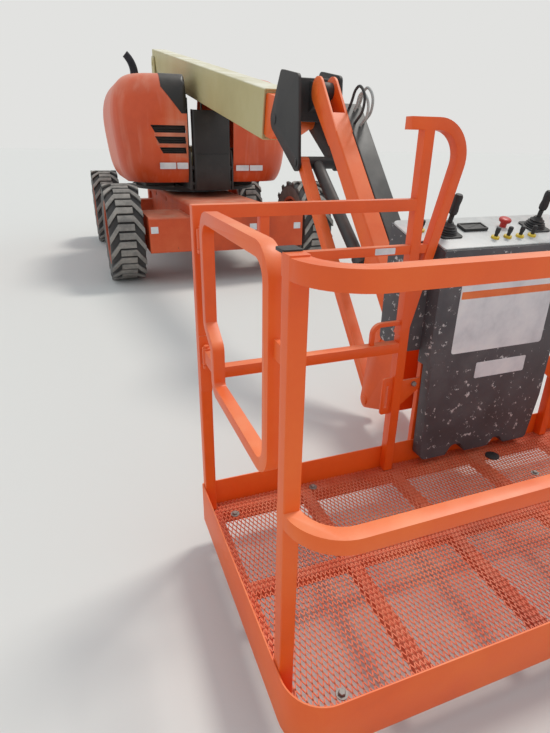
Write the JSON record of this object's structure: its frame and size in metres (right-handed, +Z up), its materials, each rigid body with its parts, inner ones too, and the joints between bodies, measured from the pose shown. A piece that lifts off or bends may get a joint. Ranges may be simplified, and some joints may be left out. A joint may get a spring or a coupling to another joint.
{
  "type": "articulating boom lift",
  "caption": "Self-propelled articulating boom lift: wheeled chassis, slewing turntable, telescoping tower and boom, jib, and railed work platform with gate and console.",
  "frame": {"origin": "ground level, in the middle of the machine's length and width", "axes": "+X from the turntable to the platform along the stowed boom, +Y across the machine, +Z up"},
  "size_m": [8.5529, 2.491, 2.701],
  "materials": {
    "tyre": "dusty tread",
    "wheel_orange": "worn paint",
    "chassis_orange": "satin, dusty",
    "turntable_grey": "satin",
    "weight_grey": "painted",
    "hood_orange": "faded",
    "black_trim": "matte",
    "steel": "dull",
    "cream": "satin, dusty",
    "bright_orange": "gloss",
    "bracket_black": "satin",
    "rod_chrome": "polished",
    "mesh_orange": "worn",
    "console_grey": "scuffed",
    "deck_grey": "satin",
    "control_black": "matte"
  },
  "bodies": {
    "chassis": {"chassis_frame": "chassis_orange", "rear_axle": "chassis_orange", "front_axle": "chassis_orange", "slew_bearing": "steel"},
    "knuckle_left": {"knuckle_left": "chassis_orange"},
    "knuckle_right": {"knuckle_right": "chassis_orange"},
    "tie_rod": {"tie_rod": "steel"},
    "wheel_front_left": {"tyre_front_left": "tyre", "rim_front_left": "wheel_orange"},
    "wheel_front_right": {"tyre_front_right": "tyre", "rim_front_right": "wheel_orange"},
    "wheel_rear_left": {"tyre_rear_left": "tyre", "rim_rear_left": "wheel_orange"},
    "wheel_rear_right": {"tyre_rear_right": "tyre", "rim_rear_right": "wheel_orange"},
    "turntable": {"turntable_frame": "turntable_grey", "counterweight": "weight_grey", "centre_cover": "black_trim", "engine_block": "weight_grey", "fuel_tank": "turntable_grey"},
    "hood_left": {"hood_left": "hood_orange", "louvre_panel": "black_trim", "exhaust_stack": "steel"},
    "hood_right": {"hood_right": "hood_orange"},
    "tower_base": {"tower_base": "cream"},
    "tower_fly": {"tower_fly": "cream"},
    "upright": {"upright": "cream"},
    "tower_barrel": {"tower_barrel": "bracket_black"},
    "tower_rod": {"tower_rod": "rod_chrome"},
    "boom_base": {"boom_base": "cream"},
    "boom_fly": {"boom_fly": "bright_orange"},
    "lift_barrel": {"lift_barrel": "bracket_black"},
    "lift_rod": {"lift_rod": "rod_chrome"},
    "level_bracket": {"level_bracket": "bracket_black"},
    "jib_arm": {"jib_arm": "bright_orange", "hose_guard": "bracket_black"},
    "jib_link": {"jib_link": "bright_orange"},
    "jib_barrel": {"jib_barrel": "bracket_black"},
    "jib_rod": {"jib_rod": "rod_chrome"},
    "platform_support": {"platform_support": "bright_orange"},
    "platform": {"platform_mount": "bright_orange", "floor_frame": "mesh_orange", "floor_mesh": "mesh_orange", "toe_board": "bright_orange", "platform_rails": "bright_orange", "console_guards": "bright_orange", "console_body": "console_grey", "console_deck": "deck_grey", "console_controls": "control_black"},
    "gate": {"gate_frame": "bright_orange"}
  },
  "joints": [
    {"name": "steer_left", "type": "hinge", "parent": "chassis", "child": "knuckle_left", "pos_m": [-3.473, -0.8, 0.505], "axis": [0, 0, 1], "range_deg": [-35, 35]},
    {"name": "steer_right", "type": "hinge", "parent": "chassis", "child": "knuckle_right", "pos_m": [-3.473, 0.8, 0.505], "axis": [0, 0, 1], "range_deg": [-35, 35]},
    {"name": "tie_rod_turn", "type": "hinge", "parent": "knuckle_left", "child": "tie_rod", "pos_m": [-3.268, -0.8, 0.322], "axis": [0, 0, 1], "range_deg": [-35, 35]},
    {"name": "roll_front_left", "type": "hinge", "parent": "knuckle_left", "child": "wheel_front_left", "pos_m": [-3.473, -1.068, 0.505], "axis": [0, 1, 0], "continuous": true},
    {"name": "roll_front_right", "type": "hinge", "parent": "knuckle_right", "child": "wheel_front_right", "pos_m": [-3.473, 1.068, 0.505], "axis": [0, 1, 0], "continuous": true},
    {"name": "roll_rear_left", "type": "hinge", "parent": "chassis", "child": "wheel_rear_left", "pos_m": [-0.993, -1.068, 0.505], "axis": [0, 1, 0], "continuous": true},
    {"name": "roll_rear_right", "type": "hinge", "parent": "chassis", "child": "wheel_rear_right", "pos_m": [-0.993, 1.068, 0.505], "axis": [0, 1, 0], "continuous": true},
    {"name": "slew", "type": "hinge", "parent": "chassis", "child": "turntable", "pos_m": [-2.233, 0, 0.88], "axis": [0, 0, 1], "continuous": true},
    {"name": "hood_left_open", "type": "hinge", "parent": "turntable", "child": "hood_left", "pos_m": [-2.233, -0.248, 2.045], "axis": [-1, 0, 0], "range_deg": [0, 60]},
    {"name": "hood_right_open", "type": "hinge", "parent": "turntable", "child": "hood_right", "pos_m": [-2.233, 0.248, 2.045], "axis": [1, 0, 0], "range_deg": [0, 60]},
    {"name": "tower_lift", "type": "hinge", "parent": "turntable", "child": "tower_base", "pos_m": [-1.353, 0, 1.23], "axis": [0, 1, 0], "range_deg": [0, 72]},
    {"name": "tower_telescope", "type": "slide", "parent": "tower_base", "child": "tower_fly", "axis": [-1, 0, 0], "range_m": [0, 1.55]},
    {"name": "upright_level", "type": "hinge", "parent": "tower_fly", "child": "upright", "pos_m": [-3.983, 0, 1.23], "axis": [0, 1, 0], "range_deg": [-72, 0]},
    {"name": "tower_cylinder_swing", "type": "hinge", "parent": "turntable", "child": "tower_barrel", "pos_m": [-1.673, 0, 0.975], "axis": [0, 1, 0], "range_deg": [0, 76.46]},
    {"name": "tower_cylinder_slide", "type": "slide", "parent": "tower_barrel", "child": "tower_rod", "axis": [-0.998, 0, 0.064], "range_m": [0, 0.47476]},
    {"name": "boom_lift", "type": "hinge", "parent": "upright", "child": "boom_base", "pos_m": [-4.083, 0, 2.5], "axis": [0, -1, 0], "range_deg": [0, 82]},
    {"name": "boom_telescope", "type": "slide", "parent": "boom_base", "child": "boom_fly", "axis": [0.9848, 0, -0.1736], "range_m": [0, 3.3]},
    {"name": "bracket_level", "type": "hinge", "parent": "boom_fly", "child": "level_bracket", "pos_m": [1.23843, 0, 1.582], "axis": [0, -1, 0], "range_deg": [-82, 0]},
    {"name": "lift_cylinder_swing", "type": "hinge", "parent": "upright", "child": "lift_barrel", "pos_m": [-3.893, 0, 1.88], "axis": [0, -1, 0], "range_deg": [0, 67.73]},
    {"name": "lift_cylinder_slide", "type": "slide", "parent": "lift_barrel", "child": "lift_rod", "axis": [0.9901, 0, 0.14], "range_m": [0, 0.7777]},
    {"name": "jib_lift", "type": "hinge", "parent": "level_bracket", "child": "jib_arm", "pos_m": [1.717, 0, 1.725], "axis": [0, -1, 0], "range_deg": [-8, 117]},
    {"name": "jib_link_swing", "type": "hinge", "parent": "level_bracket", "child": "jib_link", "pos_m": [1.637, 0, 1.315], "axis": [0, -1, 0], "range_deg": [-8, 117]},
    {"name": "support_level", "type": "hinge", "parent": "jib_arm", "child": "platform_support", "pos_m": [2.81146, 0, 0.53061], "axis": [0, -1, 0], "range_deg": [-117, 8]},
    {"name": "jib_cylinder_swing", "type": "hinge", "parent": "level_bracket", "child": "jib_barrel", "pos_m": [1.637, 0, 1.315], "axis": [0, -1, 0], "range_deg": [-7.1, 103.9]},
    {"name": "jib_cylinder_slide", "type": "slide", "parent": "jib_barrel", "child": "jib_rod", "axis": [0.791, 0, -0.6118], "range_m": [-0.04435, 0.64855]},
    {"name": "platform_rotate", "type": "hinge", "parent": "platform_support", "child": "platform", "pos_m": [3.097, 0, 0.606], "axis": [0, 0, 1], "range_deg": [-90, 90]},
    {"name": "gate_swing", "type": "hinge", "parent": "platform", "child": "gate", "pos_m": [3.4325, -1.1955, 0.81], "axis": [0, 0, 1], "range_deg": [0, 80]}
  ],
  "couplings": [
    {"joint": "steer_right", "follows": "steer_left", "ratio": 1},
    {"joint": "tie_rod_turn", "follows": "steer_left", "ratio": -1},
    {"joint": "upright_level", "follows": "tower_lift", "ratio": -1},
    {"joint": "tower_telescope", "follows": "tower_lift", "m_per_rad": 1.2335},
    {"joint": "tower_cylinder_swing", "follows": "tower_lift", "ratio": 1.062},
    {"joint": "tower_cylinder_slide", "follows": "tower_lift", "m_per_rad": 0.3778},
    {"joint": "bracket_level", "follows": "boom_lift", "ratio": -1},
    {"joint": "lift_cylinder_swing", "follows": "boom_lift", "ratio": 0.826},
    {"joint": "lift_cylinder_slide", "follows": "boom_lift", "m_per_rad": 0.5434},
    {"joint": "jib_link_swing", "follows": "jib_lift", "ratio": 1},
    {"joint": "support_level", "follows": "jib_lift", "ratio": -1},
    {"joint": "jib_cylinder_swing", "follows": "jib_lift", "ratio": 0.888},
    {"joint": "jib_cylinder_slide", "follows": "jib_lift", "m_per_rad": 0.3176}
  ]
}
